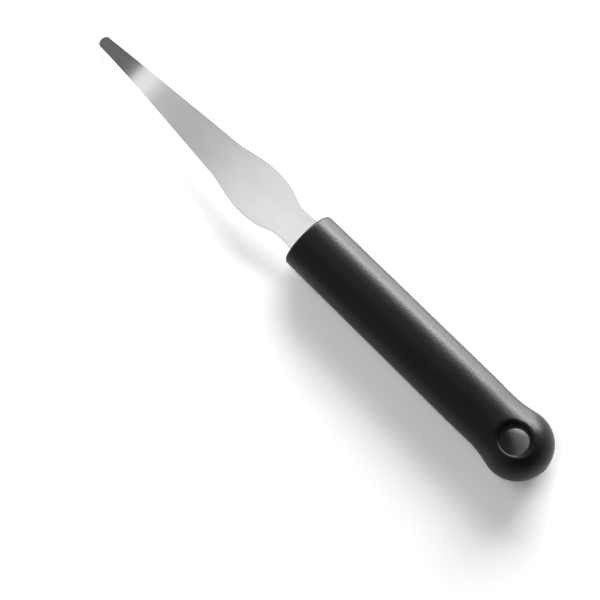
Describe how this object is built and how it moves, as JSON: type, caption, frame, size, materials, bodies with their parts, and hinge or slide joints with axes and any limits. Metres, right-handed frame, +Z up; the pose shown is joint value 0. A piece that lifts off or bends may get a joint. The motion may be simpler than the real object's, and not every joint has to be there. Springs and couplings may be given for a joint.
{
  "type": "grapefruit knife",
  "caption": "Grapefruit knife with a narrow double-edged steel blade, its tip bent down to follow the fruit, and a round black moulded handle with a hanging hole in its ball end.",
  "frame": {"origin": "on the surface that the knife lies on, under the middle of its length", "axes": "+X along the knife from the blade's tip to the handle's ball end, +Y across the blade, +Z up, out of the blade's upper face"},
  "size_m": [0.2102, 0.0242, 0.0214],
  "materials": {
    "blade_steel": "satin polished stainless steel",
    "handle_plastic": "black moulded plastic with a fine matte texture"
  },
  "bodies": {
    "root": {"blade": "blade_steel", "handle": "handle_plastic"}
  },
  "joints": []
}
